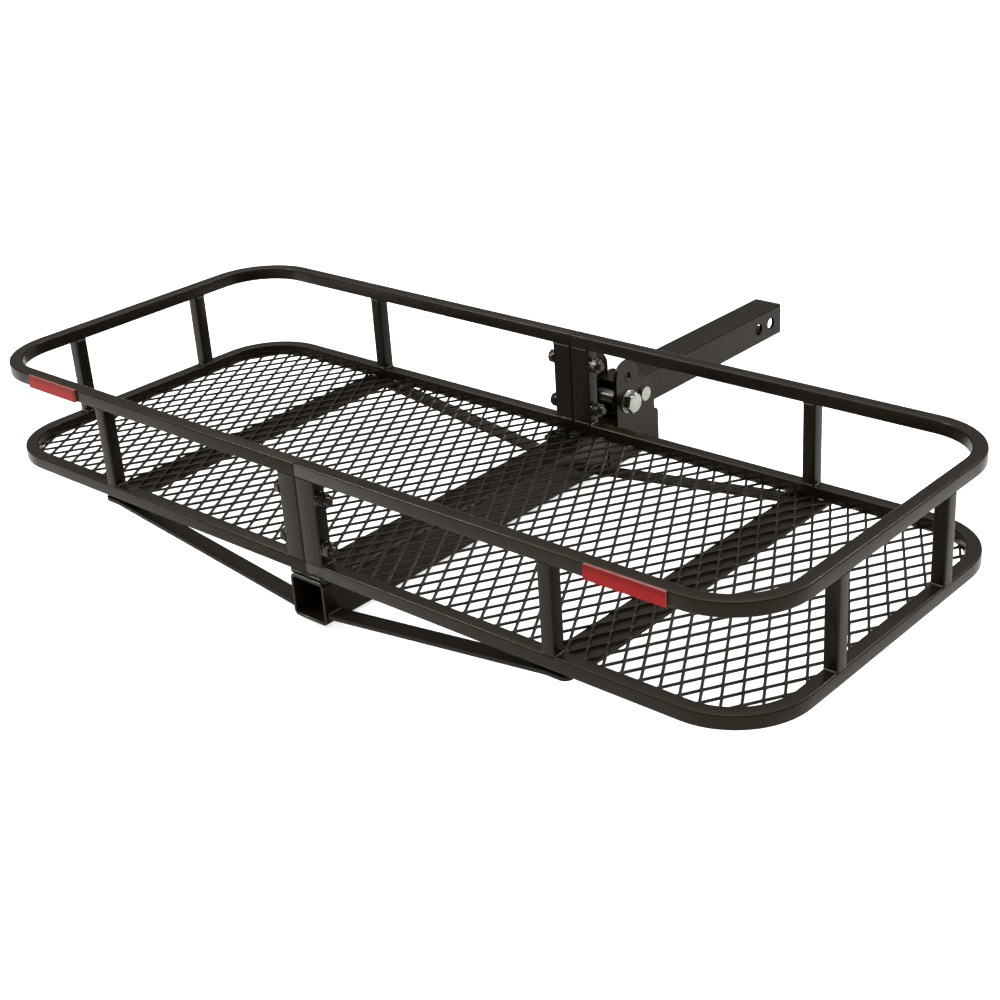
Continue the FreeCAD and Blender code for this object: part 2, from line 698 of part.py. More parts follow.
def seam_fasteners():
    """Bolts along X through both seam posts, heads at -X, nuts at +X."""
    radius = "Sheet.seam_bolt_radius"
    face = dim["seam_gap"] + dim["seam_post_width"]
    bearing = face + SEAM_WASHER
    bolts, washers, nuts = [], [], []
    for end in (-1, 1):
        for height in SEAM_BOLT_HEIGHTS:
            centre = (end * (dim["half_width"] - dim["tube_size"] / 2), dim[height])
            bolts.append(fuse("seam_bolt", [
                hexagon("seam_head", SEAM_FLATS, -bearing - SEAM_HEAD, -bearing, centre),
                cylinder("seam_shaft", radius, -bearing - SEAM_SHAFT_IN_HEAD,
                         face + SEAM_SHAFT_END, centre)]))
            for start in (-bearing, face):
                washers.append(bored(cylinder, "seam_washer", SEAM_WASHER_RADIUS, radius,
                                     start, start + SEAM_WASHER, centre))
            nuts.append(bored(hexagon, "seam_nut", SEAM_FLATS, radius,
                              bearing, bearing + SEAM_NUT, centre))
    group("seam_bolts", bolts)
    group("seam_washers", washers)
    group("seam_nuts", nuts)


seam_fasteners()

# ---------------------------------------------------------------- floor bolts
FLOOR_FLATS = 13.0
FLOOR_HEAD = 5.4
FLOOR_NUT = 6.8
FLOOR_WASHER = 1.6
FLOOR_WASHER_RADIUS = 9.0
FLOOR_SHAFT_END = 9.0           # below the upper wall of the main tube


def floor_fasteners():
    """Bolts along Z through mesh, saddle plate and upper wall of the main tube."""
    radius = "Sheet.floor_bolt_radius"
    mesh_top = dim["mesh_thickness"]
    head_start = mesh_top + FLOOR_WASHER
    nut_top = -dim["saddle_thickness"] - dim["main_wall"]
    bolts, washers, nuts = [], [], []
    for side in (-1, 1):
        for end in (-1, 1):
            centre = (side * dim["floor_bolt_x"], end * dim["floor_bolt_y"])
            bolts.append(fuse("floor_bolt", [
                cylinder("floor_shaft", radius, nut_top - FLOOR_SHAFT_END, head_start,
                         centre, "z"),
                hexagon("floor_head", FLOOR_FLATS, head_start, head_start + FLOOR_HEAD,
                        centre, "z")]))
            washers.append(bored(cylinder, "floor_washer", FLOOR_WASHER_RADIUS, radius,
                                 mesh_top, head_start, centre, "z"))
            nuts.append(bored(hexagon, "floor_nut", FLOOR_FLATS, radius,
                              nut_top - FLOOR_NUT, nut_top, centre, "z"))
    group("floor_bolts", bolts)
    group("floor_washers", washers)
    group("floor_nuts", nuts)


floor_fasteners()
doc.recompute()

# ---------------------------------------------------------------- checks, export
bad = [obj.Name + " " + str(obj.State) for obj in doc.Objects
       if "Invalid" in obj.State or "Error" in obj.State]
for name, obj in pieces.items():
    shape = obj.Shape
    if shape.isNull() or not shape.isValid() or not shape.Solids:
        bad.append("shape of " + name)
if bad:
    raise RuntimeError("; ".join(bad))

os.makedirs("parts", exist_ok=True)
for name, obj in pieces.items():
    obj.Shape.exportStep("parts/" + name + ".step")
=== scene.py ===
"""A two-piece basket of square tube with an expanded-metal floor, on a main tube and pivot.

Geometry is in millimetres in the basket frame: X runs along the basket with the seam between
the left (-X) and right (+X) halves at X = 0, Y runs across it from front (-Y) to back (+Y),
and Z = 0 is the underside of the bottom rails. The main tube lies along Y below the seam and
reaches out past the back, where the pivot bolt crosses above it along X. Materials, lights and
camera are in metres in the row frame.
"""
import bpy
import bmesh
import itertools
import math
import random
from mathutils import Matrix, Vector


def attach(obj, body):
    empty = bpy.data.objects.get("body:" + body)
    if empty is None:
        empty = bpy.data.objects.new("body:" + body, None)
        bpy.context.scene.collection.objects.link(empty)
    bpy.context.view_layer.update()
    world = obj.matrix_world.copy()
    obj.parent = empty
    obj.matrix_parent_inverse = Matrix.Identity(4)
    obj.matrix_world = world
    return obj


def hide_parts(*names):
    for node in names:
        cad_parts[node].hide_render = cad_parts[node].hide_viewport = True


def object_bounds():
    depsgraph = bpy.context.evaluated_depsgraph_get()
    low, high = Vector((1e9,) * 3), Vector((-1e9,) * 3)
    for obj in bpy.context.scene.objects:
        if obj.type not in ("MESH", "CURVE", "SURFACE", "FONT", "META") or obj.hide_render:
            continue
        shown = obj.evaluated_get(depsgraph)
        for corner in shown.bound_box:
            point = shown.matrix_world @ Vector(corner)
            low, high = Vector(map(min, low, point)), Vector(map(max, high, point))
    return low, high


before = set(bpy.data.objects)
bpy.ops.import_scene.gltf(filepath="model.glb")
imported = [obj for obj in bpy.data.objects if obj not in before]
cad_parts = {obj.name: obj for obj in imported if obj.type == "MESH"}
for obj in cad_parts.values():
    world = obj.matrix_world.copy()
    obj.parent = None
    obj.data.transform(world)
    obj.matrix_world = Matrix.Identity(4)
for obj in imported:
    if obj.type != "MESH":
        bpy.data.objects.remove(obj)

cad_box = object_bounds()
random.seed(7)

MM = 0.001
BASKET_ORIGIN = (0.0, -0.700, -0.0254)    # basket frame in the row frame, metres

# Basket, mm
TUBE = 19.05                 # square tube of rails and posts
HALF_LENGTH = 673.0
HALF_WIDTH = 275.0
HEIGHT = 152.4
CORNER_RADIUS = 100.0        # outside of the rail corners in plan
SEAM_GAP = 0.2               # from the seam plane to each half
SEAM_POST_WIDTH = 32.0
SEAM_FACE = SEAM_GAP + SEAM_POST_WIDTH    # outer face of a seam post
RAIL_Y = HALF_WIDTH - TUBE / 2            # centre line of the long rails

# Main tube, mm
MAIN_SIZE = 60.0
MAIN_WALL = 4.0
MAIN_TOP = -6.0
MAIN_FRONT = -276.5
MAIN_BACK = 300.0            # the top and bottom tongues go on from here

# Pivot, mm
PIVOT_Y, PIVOT_Z = 346.0, 25.4
PIVOT_FACE = 31.5            # X of the faces the washers bear on
PIVOT_WASHER = 3.0           # washer thickness

X_AXIS, Y_AXIS, Z_AXIS = (1, 0, 0), (0, 1, 0), (0, 0, 1)
SIDES = ((-1, "left"), (1, "right"))      # sign of X
FACES = ((-1, "front"), (1, "back"))      # sign of Y


# ------------------------------------------------------------------ shader helpers
# Socket numbers of a Mix node set to RGBA
MIX_FACTOR, MIX_A, MIX_B, MIX_RESULT = 0, 6, 7, 2


def feed(node, inputs):
    """Fill inputs by name or number: output sockets are linked, other values are set."""
    for key, value in inputs.items():
        if isinstance(value, bpy.types.NodeSocket):
            node.id_data.links.new(value, node.inputs[key])
        else:
            node.inputs[key].default_value = value


def add_node(tree, kind, inputs=None, **settings):
    node = tree.nodes.new("ShaderNode" + kind)
    for name, value in settings.items():
        setattr(node, name, value)
    feed(node, inputs or {})
    return node


def new_material(name):
    """An empty material with a Principled shader wired to its output."""
    material = bpy.data.materials.new(name)
    material.use_nodes = True
    tree = material.node_tree
    for node in list(tree.nodes):
        tree.nodes.remove(node)
    output = add_node(tree, "OutputMaterial")
    shader = add_node(tree, "BsdfPrincipled")
    tree.links.new(shader.outputs[0], output.inputs[0])
    return material, tree, shader


def noise(tree, scale, detail=3.0, roughness=0.55, stretch=None):
    """Noise in object coordinates, optionally stretched per axis."""
    node = add_node(tree, "TexNoise",
                    {"Scale": scale, "Detail": detail, "Roughness": roughness})
    vector = add_node(tree, "TexCoord").outputs["Object"]
    if stretch:
        vector = add_node(tree, "Mapping", {"Scale": stretch, "Vector": vector}).outputs[0]
    feed(node, {"Vector": vector})
    return node.outputs["Fac"]


def ramp(tree, source, stops):
    """Colour ramp; stops are (position, RGB)."""
    node = add_node(tree, "ValToRGB", {0: source})
    elements = node.color_ramp.elements
    while len(elements) > 1:
        elements.remove(elements[-1])
    elements[0].position = stops[0][0]
    elements[0].color = (*stops[0][1], 1)
    for position, colour in stops[1:]:
        elements.new(position).color = (*colour, 1)
    return node.outputs[0]


def grey(value):
    return (value, value, value)


def calculate(tree, operation, *operands):
    """Math node on sockets and numbers."""
    return add_node(tree, "Math", dict(enumerate(operands)), operation=operation).outputs[0]


def map_range(tree, value, start, end):
    """Map start..end to 0..1."""
    inputs = {"From Min": start, "From Max": end, "Value": value}
    return add_node(tree, "MapRange", inputs).outputs[0]


def mix_colours(tree, factor, first, second):
    inputs = {MIX_FACTOR: factor, MIX_A: first, MIX_B: second}
    return add_node(tree, "Mix", inputs, data_type="RGBA").outputs[MIX_RESULT]


def bump(tree, height, strength, distance):
    inputs = {"Strength": strength, "Distance": distance, "Height": height}
    return add_node(tree, "Bump", inputs).outputs[0]


# ------------------------------------------------------------------ materials
def edge_wear_and_highlight(tree, amount):
    """Patchy mask of the edges, where the bevelled normal leaves the true one: rubbed wear and a
    painted edge highlight.
    """
    rounded = add_node(tree, "Bevel", {"Radius": 0.0016}, samples=4).outputs[0]
    normal = add_node(tree, "NewGeometry").outputs["Normal"]
    agreement = add_node(tree, "VectorMath", {0: rounded, 1: normal}, operation="DOT_PRODUCT")
    edge = map_range(tree, agreement.outputs["Value"], start=0.995, end=0.88)
    patches = ramp(tree, noise(tree, scale=60.0, detail=4.0),
                   [(0.42, grey(0.1)), (0.62, grey(1.0))])
    wear_and_highlight = calculate(tree, "MULTIPLY", edge, patches)
    return calculate(tree, "MULTIPLY", wear_and_highlight, amount)


def powder_coat(name, base, roughness, specular, peel=1.0, wear_and_highlight_amount=0.35):
    """Satin powder coat: orange-peel bump, faint tone drift, lighter edges as rubbed wear and
    painted highlight.
    """
    material, tree, shader = new_material(name)
    tone = ramp(tree, noise(tree, scale=5.0, detail=4.0),
                [(0.3, tuple(c * 0.86 for c in base)), (0.7, tuple(c * 1.16 for c in base))])
    # Lighter edge colour: rubbed wear and a painted edge highlight
    wear_and_highlight = (base[0] * 2.4 + 0.012, base[1] * 2.4 + 0.011, base[2] * 2.4 + 0.010, 1)
    colour = mix_colours(tree, edge_wear_and_highlight(tree, wear_and_highlight_amount), tone, wear_and_highlight)
    sheen = ramp(tree, noise(tree, scale=38.0, detail=4.0),
                 [(0.3, grey(roughness - 0.07)), (0.75, grey(roughness + 0.09))])
    fine = noise(tree, scale=900.0, detail=2.0, roughness=0.5)
    waves = noise(tree, scale=130.0, detail=2.0, roughness=0.5)
    fine_share = 0.6
    surface = calculate(tree, "MULTIPLY_ADD", fine, fine_share, waves)
    feed(shader, {
        "Base Color": colour,
        "Roughness": sheen,
        "Specular IOR Level": specular,
        "Specular Tint": (1.0, 0.86, 0.72, 1),
        "Normal": bump(tree, surface, strength=0.10 * peel, distance=0.0006),
    })
    return material


def bare_metal(name, base, roughness, yellow=0.0, grain=(1, 1, 1)):
    """Metal with drifting tone and fine grain; yellow takes blue from the light patches."""
    material, tree, shader = new_material(name)
    red, green, blue = base
    dark = (red * 0.82, green * 0.82, blue * 0.80)
    light = (red * 1.06, green * (1.06 - yellow * 0.03), blue * (1.06 - yellow * 0.12))
    tone = ramp(tree, noise(tree, scale=26.0, detail=5.0), [(0.3, dark), (0.7, light)])
    sheen = ramp(tree, noise(tree, scale=90.0, detail=4.0),
                 [(0.3, grey(roughness - 0.06)), (0.75, grey(roughness + 0.12))])
    grain_noise = noise(tree, scale=220.0, detail=3.0, roughness=0.6, stretch=grain)
    feed(shader, {
        "Base Color": tone,
        "Metallic": 1.0,
        "Roughness": sheen,
        "Anisotropic": 0.3,
        "Normal": bump(tree, grain_noise, strength=0.12, distance=0.0004),
    })
    return material


def weld_metal():
    """Weld bead under thin paint: mostly coat-coloured, with bare grey patches."""
    material, tree, shader = new_material("weld_bead")
    patches = noise(tree, scale=70.0, detail=4.0)
    tone = ramp(tree, patches, [(0.45, (0.010, 0.009, 0.008)),
                                (0.62, (0.016, 0.015, 0.014)),
                                (0.72, (0.22, 0.22, 0.21))])
    feed(shader, {
        "Base Color": tone,
        "Metallic": ramp(tree, patches, [(0.64, grey(0.0)), (0.72, grey(0.8))]),
        "Roughness": 0.38,
        "Normal": bump(tree, noise(tree, scale=700.0), strength=0.35, distance=0.0008),
    })
    return material


def reflector_sheet():
    """Red sheet of small diamond cells with a darker strip along its top."""
    material, tree, shader = new_material("reflector_red")
    position = add_node(tree, "TexCoord").outputs["Object"]
    axes = add_node(tree, "SeparateXYZ", {0: position}).outputs
    density = 400.0          # cell waves per metre

    def diagonal_wave(z_density):
        across = calculate(tree, "MULTIPLY", axes["X"], density)
        diagonal = calculate(tree, "MULTIPLY_ADD", axes["Z"], z_density, across)
        return calculate(tree, "PINGPONG", diagonal, 0.5)

    rising = diagonal_wave(density)
    falling = diagonal_wave(-density)
    cells = calculate(tree, "MINIMUM", rising, falling)
    tone = ramp(tree, cells, [(0.0, (0.16, 0.004, 0.004)),
                              (0.12, (0.26, 0.006, 0.006)),
                              (0.5, (0.33, 0.010, 0.009))])
    top = BASKET_ORIGIN[2] + HEIGHT * MM
    strip = map_range(tree, axes["Z"], start=top - 0.0072, end=top - 0.0056)
    feed(shader, {
        "Base Color": mix_colours(tree, strip, tone, (0.17, 0.003, 0.003, 1)),
        "Roughness": 0.34,
        "Coat Weight": 0.0,
        "Specular IOR Level": 0.10,
        "Coat Roughness": 0.06,
        "Normal": bump(tree, cells, strength=0.25, distance=0.0004),
    })
    return material


def reflector_rim():
    material, tree, shader = new_material("reflector_rim")
    tone = ramp(tree, noise(tree, scale=120.0),
                [(0.3, (0.13, 0.035, 0.03)), (0.7, (0.19, 0.06, 0.05))])
    feed(shader, {"Base Color": tone, "Roughness": 0.35})
    return material


def floor_paint():
    """Light grey paint that also glows, but only as seen by the camera."""
    material, tree, shader = new_material("studio_floor_paint")
    tone = ramp(tree, noise(tree, scale=3.0), [(0.3, grey(0.68)), (0.7, grey(0.72))])
    camera_ray = add_node(tree, "LightPath").outputs["Is Camera Ray"]
    glow = 1.1
    feed(shader, {
        "Base Color": tone,
        "Roughness": 0.9,
        "Specular IOR Level": 0.1,
        "Emission Color": tone,
        "Emission Strength": calculate(tree, "MULTIPLY", camera_ray, glow),
    })
    return material


FRAME_COAT = powder_coat("frame_powder_coat", (0.0060, 0.0043, 0.0027),
                         roughness=0.27, specular=0.17, peel=0.7)
SHANK_COAT = powder_coat("shank_powder_coat", (0.0056, 0.0040, 0.0028),
                         roughness=0.28, specular=0.14, peel=0.7, wear_and_highlight_amount=0.2)
MESH_COAT = powder_coat("mesh_powder_coat", (0.0056, 0.0042, 0.0030),
                        roughness=0.34, specular=0.18, wear_and_highlight_amount=0.3)
FASTENER_COAT = powder_coat("black_fastener_coat", (0.0050, 0.0046, 0.0044),
                            roughness=0.24, specular=0.35, peel=0.7, wear_and_highlight_amount=0.5)
STRAP_COAT = powder_coat("strap_powder_coat", (0.0058, 0.0046, 0.0034),
                         roughness=0.42, specular=0.16)
ZINC = bare_metal("zinc_plate", (0.36, 0.365, 0.35), roughness=0.24, yellow=0.4)
BUSH_STEEL = bare_metal("oiled_steel", (0.10, 0.095, 0.09), roughness=0.30, grain=(1, 30, 30))
WELD = weld_metal()
REFLECTOR = reflector_sheet()
RIM = reflector_rim()


# ------------------------------------------------------------------ shape building
def round_rect(width, height, radius, segments):
    """Rounded rectangle as a counter-clockwise loop of (u, v)."""
    points = []
    for sign_u, sign_v, start in ((1, 1, 0), (-1, 1, 90), (-1, -1, 180), (1, -1, 270)):
        centre_u = sign_u * (width / 2 - radius)
        centre_v = sign_v * (height / 2 - radius)
        for i in range(segments + 1):
            angle = math.radians(start + 90.0 * i / segments)
            points.append((centre_u + radius * math.cos(angle),
                           centre_v + radius * math.sin(angle)))
    return points


def turned_loops(rows, centre, axis, count, spin):
    """Loops about axis 'x', '-x' or 'z'; rows are (radius, height[, width across flats])."""
    loops = []
    for radius, height, *flats in rows:
        loop = []
        for i in range(count):
            angle = 2 * math.pi * i / count
            reach = radius
            if flats:
                off_flat = math.radians((math.degrees(angle) % 60.0) - 30.0)
                reach = min(radius, flats[0] / 2 / math.cos(off_flat))
            a = reach * math.cos(angle + spin)
            b = reach * math.sin(angle + spin)
            offset = {"x": (height, a, b), "-x": (-height, -a, b), "z": (a, b, height)}[axis]
            loop.append(tuple(centre[j] + offset[j] for j in range(3)))
        loops.append(loop)
    return loops


class Shape:
    """Vertices in mm in the basket frame, and faces, gathered into one object."""

    def __init__(self):
        self.verts = []
        self.faces = []

    def loft(self, loops, closed=False, cap_start=False, cap_end=False):
        """Skin equal loops in order; closed joins the last back to the first."""
        base = len(self.verts)
        size, count = len(loops[0]), len(loops)
        faces = []
        for i in range(count if closed else count - 1):
            this, following = i * size, ((i + 1) % count) * size
            for j in range(size):
                k = (j + 1) % size
                faces.append((this + j, this + k, following + k, following + j))
        if cap_start:
            faces.append(range(size - 1, -1, -1))
        if cap_end:
            faces.append(range((count - 1) * size, count * size))
        self.verts += [point for loop in loops for point in loop]
        self.faces += [tuple(base + i for i in face) for face in faces]

    def sweep(self, path, section, scales=None):
        """Capped sweep of (u, v) points along a path of (centre, u axis, v axis)."""
        scales = scales or [1.0] * len(path)
        self.loft([[tuple(centre[j] + (u_axis[j] * u + v_axis[j] * v) * scale for j in range(3))
                    for u, v in section]
                   for (centre, u_axis, v_axis), scale in zip(path, scales)],
                  cap_start=True, cap_end=True)

    def lathe(self, rows, centre, axis, count, spin=0.0):
        """Turned solid; an end with a radius is capped."""
        self.loft(turned_loops(rows, centre, axis, count, spin),
                  cap_start=rows[0][0] > 1e-6, cap_end=rows[-1][0] > 1e-6)

    def ring(self, rows, centre, axis, count, spin=0.0):
        """Turned ring; rows go up the outside and back down the bore."""
        self.loft(turned_loops(rows, centre, axis, count, spin), closed=True)

    def bead(self, start, end, radius, seed, up=Z_AXIS):
        """Lumpy weld bead that thins at both ends; up must not lie along it."""
        draws = random.Random(seed)
        direction = Vector(end) - Vector(start)
        length = direction.length
        direction.normalize()
        u_axis = direction.cross(Vector(up))
        u_axis.normalize()
        v_axis = u_axis.cross(direction)
        step = 1.1
        steps = max(4, int(length / step))
        path, scales = [], []
        for i in range(steps + 1):
            t = i / steps
            centre = Vector(start) + direction * (length * t)
            ripple = 1.0 + 0.16 * math.sin(i * math.pi / 1.5) + draws.uniform(-0.1, 0.1)
            taper = min(1.0, 0.35 + 2.5 * min(t, 1 - t) * length / 8.0)
            path.append((tuple(centre), tuple(u_axis), tuple(v_axis)))
            scales.append(radius * ripple * taper)
        circle = [(math.cos(2 * math.pi * j / 10), math.sin(2 * math.pi * j / 10))
                  for j in range(10)]
        self.sweep(path, circle, scales)

    def make(self, name, material, slot, replaces=None, smooth_below=30.0):
        """Create the object; edges flatter than smooth_below degrees shade smooth."""
        mesh = bpy.data.meshes.new(name)
        verts = [tuple(origin + value * MM for origin, value in zip(BASKET_ORIGIN, point))
                 for point in self.verts]
        mesh.from_pydata(verts, [], self.faces)
        mesh.materials.append(material)
        obj = bpy.data.objects.new(name, mesh)
        bpy.context.scene.collection.objects.link(obj)
        bm = bmesh.new()
        bm.from_mesh(mesh)
        bmesh.ops.recalc_face_normals(bm, faces=bm.faces)
        for face in bm.faces:
            face.smooth = True
        for edge in bm.edges:
            edge.smooth = (len(edge.link_faces) == 2
                           and edge.calc_face_angle(0.0) < math.radians(smooth_below))
        bm.to_mesh(mesh)
        bm.free()
        mesh.update()
        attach(obj, "tray")
        if replaces:
            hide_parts(replaces)


# ------------------------------------------------------------------ rails
def rail_path(side, z):
    """Half loop from the seam at the back, round the end, to the seam at the front."""
    corner_steps = 20
    radius = CORNER_RADIUS - TUBE / 2
    corner_x, corner_y = HALF_LENGTH - CORNER_RADIUS, HALF_WIDTH - CORNER_RADIUS

    def corner(centre_y, start_angle):
        for i in range(corner_steps + 1):
            angle = math.radians(start_angle - 90 * i / corner_steps)
            nx, ny = math.cos(angle), math.sin(angle)
            yield corner_x + radius * nx, centre_y + radius * ny, nx, ny

    straight = [SEAM_GAP, SEAM_GAP + 0.7, SEAM_GAP + 1.4, corner_x * 0.5]
    plan = [(x, RAIL_Y, 0, 1) for x in straight]      # x, y, outward normal x, y
    plan += corner(corner_y, 90)
    plan.append((HALF_LENGTH - TUBE / 2, 0.0, 1, 0))
    plan += corner(-corner_y, 0)
    plan += [(x, -RAIL_Y, 0, -1) for x in reversed(straight)]
    return [((side * x, y, z + TUBE / 2), (side * nx, ny, 0.0), Z_AXIS)
            for x, y, nx, ny in plan]


def make_rail(node, side, z):
    path = rail_path(side, z)
    end_taper = [0.90, 0.965]
    scales = end_taper + [1.0] * (len(path) - 4) + end_taper[::-1]
    shape = Shape()
    shape.sweep(path, round_rect(TUBE, TUBE, radius=2.7, segments=5), scales)
    shape.make(node + "_tube", FRAME_COAT, "frame_black", replaces=node)


for level, z in (("bottom", 0.0), ("top", HEIGHT - TUBE)):
    for side, side_name in SIDES:
        make_rail(f"{side_name}_{level}_rail", side, z)


# ------------------------------------------------------------------ posts
def post_layout():
    """Rows of node, x, y, X width, rail runs along X, welded sides, x sign, y sign."""
    both = (-1, 1)
    rows = []
    for sx, side_name in SIDES:
        for sy, face_name in FACES:
            y = sy * RAIL_Y
            rows += [
                (f"{face_name}_{side_name}_post", sx * 396.0, y, TUBE, True, both, sx, sy),
                (f"{face_name}_{side_name}_seam_post", sx * (SEAM_GAP + SEAM_POST_WIDTH / 2), y,
                 SEAM_POST_WIDTH, True, (sx,), sx, sy),
                (f"{side_name}_end_{face_name}_post", sx * (HALF_LENGTH - TUBE / 2), sy * 116.0,
                 TUBE, False, both, sx, sy),
            ]
    return rows


def make_post(node, x, y, width):
    sunk = 0.6               # overlap into each rail
    bottom, top = TUBE - sunk, HEIGHT - TUBE + sunk
    shape = Shape()
    shape.sweep([((x, y, z), X_AXIS, Y_AXIS) for z in (bottom, (bottom + top) / 2, top)],
                round_rect(width, TUBE, radius=2.4, segments=4))
    shape.make(node + "_tube", FRAME_COAT, "frame_black", replaces=node)


posts = post_layout()
for node, x, y, width, *_ in posts:
    make_post(node, x, y, width)


# ------------------------------------------------------------------ expanded metal floor
MESH_PITCH_X, MESH_PITCH_Y = 26.0, 42.9       # diamond pitches
STRAND_PITCH = MESH_PITCH_X / 2
STRAND_HALF_WIDTH, STRAND_HALF_THICKNESS = 3.4 / 2, 3.0 / 2
STRAND_CHAMFER = 0.5
LEAN_COS, LEAN_SIN = math.cos(math.radians(6.0)), math.sin(math.radians(6.0))
BOND_HALF_LENGTH = 1.8                        # along Y
BOND_REACH = 0.86                             # share of the half width out to a bond
STRAND_SWAY = STRAND_PITCH / 2 - STRAND_HALF_WIDTH * LEAN_COS * BOND_REACH
STRAND_LIFT = STRAND_HALF_WIDTH * LEAN_SIN * BOND_REACH
MESH_Z = 2.7
MESH_INSET = TUBE - 1.0                       # mesh edge, in from the outside of the rails
MESH_END_X = HALF_LENGTH - MESH_INSET


def mesh_half_width(x):
    """Y of the mesh edge at x, rounded at the corners like the rails."""
    half_width, radius = HALF_WIDTH - MESH_INSET, CORNER_RADIUS - MESH_INSET
    if x <= MESH_END_X - radius:
        return half_width
    if x >= MESH_END_X:
        return 0.0
    return half_width - radius + math.sqrt(max(0.0, radius ** 2 - (x - MESH_END_X + radius) ** 2))


def in_mesh(point):
    return abs(point[1]) <= mesh_half_width(point[0] + 1.0) and point[0] < MESH_END_X


def between(start, end, t):
    return tuple(start[j] + (end[j] - start[j]) * t for j in range(3))


def trim(inner, outer):
    """Last point on the way from inner to outer that is still in the mesh."""
    low, high = 0.0, 1.0
    for _ in range(14):
        t = (low + high) / 2
        if in_mesh(between(inner, outer, t)):
            low = t
        else:
            high = t
    return between(inner, outer, low)


def strand_line(strand, side):
    """Zigzag centre line along Y, running past both long rails."""
    middle_x = STRAND_PITCH / 2 + strand * STRAND_PITCH + 0.6
    bends = []
    for k in range(-13, 14):
        sway = 1.0 if (k + strand % 2) % 2 == 0 else -1.0
        for dy in (-BOND_HALF_LENGTH, BOND_HALF_LENGTH):
            bends.append((middle_x + sway * STRAND_SWAY, k * MESH_PITCH_Y / 2 + dy,
                          -sway * side * STRAND_LIFT))
    line = []
    for start, end in zip(bends[:-1], bends[1:]):
        steps = 1 if abs(start[0] - end[0]) < 1e-6 else 3
        line += [between(start, end, i / steps) for i in range(steps)]
    return line + [bends[-1]]


def runs_in_mesh(line):
    """The parts of a line in the mesh; its first and last points are always outside."""
    runs, run = [], []
    for i, point in enumerate(line):
        if in_mesh(point):
            if not run:
                run.append(trim(point, line[i - 1]))
            run.append(point)
        elif run:
            run.append(trim(line[i - 1], point))
            runs.append(run)
            run = []
    return runs


def strand_path(points, side):
    """Sweep path whose ribbon keeps its width across the strand and leans up to +X."""
    path = []
    for i, (x, y, z) in enumerate(points):
        before, after = points[max(0, i - 1)], points[min(len(points) - 1, i + 1)]
        slope = side * (after[0] - before[0]) / max(1e-6, (after[1] - before[1]))
        k = 1.0 / math.sqrt(1.0 + slope * slope)
        u_axis = (LEAN_COS * k, -slope * LEAN_COS * k, LEAN_SIN)
        v_axis = (-LEAN_SIN * k, slope * LEAN_SIN * k, LEAN_COS)
        path.append(((side * x, y, MESH_Z + z), u_axis, v_axis))
    return path


def make_mesh(node, side):
    """Zigzag ribbons along Y that meet their neighbours at the bonds."""
    w, t, c = STRAND_HALF_WIDTH, STRAND_HALF_THICKNESS, STRAND_CHAMFER
    section = [(w, -t + c), (w, t - c), (w - c, t), (-w + c, t),
               (-w, t - c), (-w, -t + c), (-w + c, -t), (w - c, -t)]
    shape = Shape()
    for strand in range(int((HALF_LENGTH - TUBE) / STRAND_PITCH) + 1):
        for run in runs_in_mesh(strand_line(strand, side)):
            points = [run[0]]
            for point in run[1:]:
                if abs(point[1] - points[-1][1]) > 0.05:
                    points.append(point)
            if len(points) >= 2:
                shape.sweep(strand_path(points, side), section)
    shape.make(node + "_expanded", MESH_COAT, "mesh_black", replaces=node, smooth_below=28)


for side, side_name in SIDES:
    make_mesh(side_name + "_floor_mesh", side)


# ------------------------------------------------------------------ main tube
def make_main_tube():
    """Open square tube; its top and bottom walls go on past the back as tongues."""
    outer = round_rect(MAIN_SIZE, MAIN_SIZE, radius=7.0, segments=7)
    bore = MAIN_SIZE - 2 * MAIN_WALL
    inner = round_rect(bore, bore, radius=3.8, segments=7)
    front, back = MAIN_FRONT, MAIN_BACK
    # y, section, scale: back through the bore, then forward over the outside
    stations = [
        (front + 0.5, inner, 1.0), (front + 1.2, inner, 1.0),
        (back - 0.6, inner, 1.0), (back, inner, 1.0),
        (back, outer, 0.992), (back - 0.6, outer, 1.0),
        (front + 0.9, outer, 1.0), (front + 0.3, outer, 0.995),
        (front, outer, 0.982), (front, inner, 1.016),
    ]
    centre_z = MAIN_TOP - MAIN_SIZE / 2
    shape = Shape()
    shape.loft([[(u * scale, y, centre_z + v * scale) for u, v in section]
                for y, section, scale in stations], closed=True)
    tongue = round_rect(50.9, MAIN_WALL, radius=0.6, segments=3)
    for z in (MAIN_TOP - MAIN_WALL / 2, MAIN_TOP - MAIN_SIZE + MAIN_WALL / 2):
        shape.sweep([((0.0, y, z), X_AXIS, Z_AXIS) for y in (MAIN_BACK - 0.4, 417.4, 418.0)],
                    tongue, scales=[1.0, 1.0, 0.985])
    shape.make("main_tube_bar", FRAME_COAT, "frame_black", replaces="main_tube")


make_main_tube()


# ------------------------------------------------------------------ weld beads
weld_seeds = itertools.count(12)


def weld_post(shape, x, y, width, along_x, welded_sides, sx, sy):
    """Beads at both ends of a post, on its sides along the rail and its inner face."""
    if along_x:
        along, across, inward = x, y, -sy
    else:
        along, across, inward = y, x, -sx
    for z in (TUBE + 0.4, HEIGHT - TUBE - 0.4):
        def place(along_rail, across_rail):
            return (along_rail, across_rail, z) if along_x else (across_rail, along_rail, z)
        seed = next(weld_seeds)
        for side in welded_sides:
            edge = along + side * (width / 2 + 0.2)
            shape.bead(place(edge, across - 8.0), place(edge, across + 8.0),
                       radius=1.5, seed=seed * 3 + side)
        face = across + inward * TUBE / 2
        shape.bead(place(along - width / 2 + 2, face), place(along + width / 2 - 2, face),
                   radius=1.3, seed=seed * 5)


